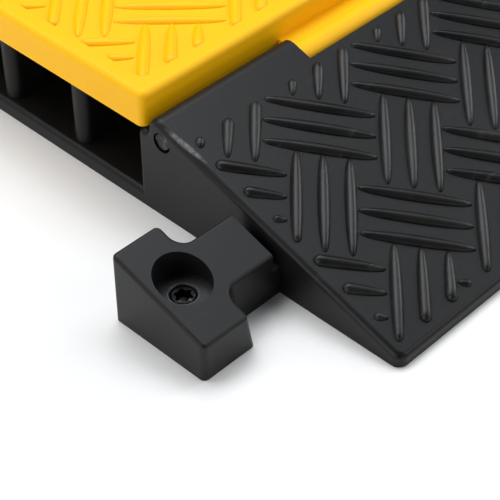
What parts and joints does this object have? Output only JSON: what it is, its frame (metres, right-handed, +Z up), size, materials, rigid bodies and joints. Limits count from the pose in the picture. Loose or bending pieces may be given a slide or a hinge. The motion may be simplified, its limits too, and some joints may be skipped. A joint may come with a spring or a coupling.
{
  "type": "cable protector ramp",
  "caption": "Low drive-over ramp with covered cable channels, a hinged yellow lid between two black tread ramps, and T-shaped end connectors.",
  "frame": {"origin": "middle of the footprint, on the ground, connectors included", "axes": "+X along the cables from the male connectors to the female sockets, +Y across from the hinge side to the lifting side, +Z up"},
  "size_m": [0.9706, 0.5242, 0.058],
  "materials": {
    "black_moulding": "satin black polyurethane with a moulded skin",
    "yellow_moulding": "yellow polyurethane, satin",
    "connector_moulding": "black nylon-like moulding, slightly bluer and smoother",
    "rod_metal": "dark grey coated steel rod, rough-cut end",
    "screw_black": "black oxide steel",
    "sleeve_metal": "dark phosphated steel",
    "bolt_steel": "plain zinc-plated steel",
    "insert_brass": "turned brass",
    "plug_rubber": "black rubber"
  },
  "bodies": {
    "base": {"base_body": "black_moulding", "rod_end_plug": "plug_rubber", "t_connector_near": "connector_moulding", "t_connector_far": "connector_moulding", "anchor_sleeve_near": "sleeve_metal", "anchor_sleeve_far": "sleeve_metal", "anchor_screw_near": "screw_black", "anchor_screw_far": "screw_black", "connector_bolts": "bolt_steel", "threaded_inserts": "insert_brass"},
    "lid": {"lid": "yellow_moulding"},
    "rod": {"hinge_rod": "rod_metal"}
  },
  "joints": [
    {"name": "lid_hinge", "type": "hinge", "parent": "base", "child": "lid", "pos_m": [0, -0.13075, 0.0403], "axis": [1, 0, 0], "range_deg": [0, 110]},
    {"name": "hinge_rod_pull", "type": "slide", "parent": "base", "child": "rod", "axis": [-1, 0, 0], "range_m": [0, 0.9]}
  ]
}
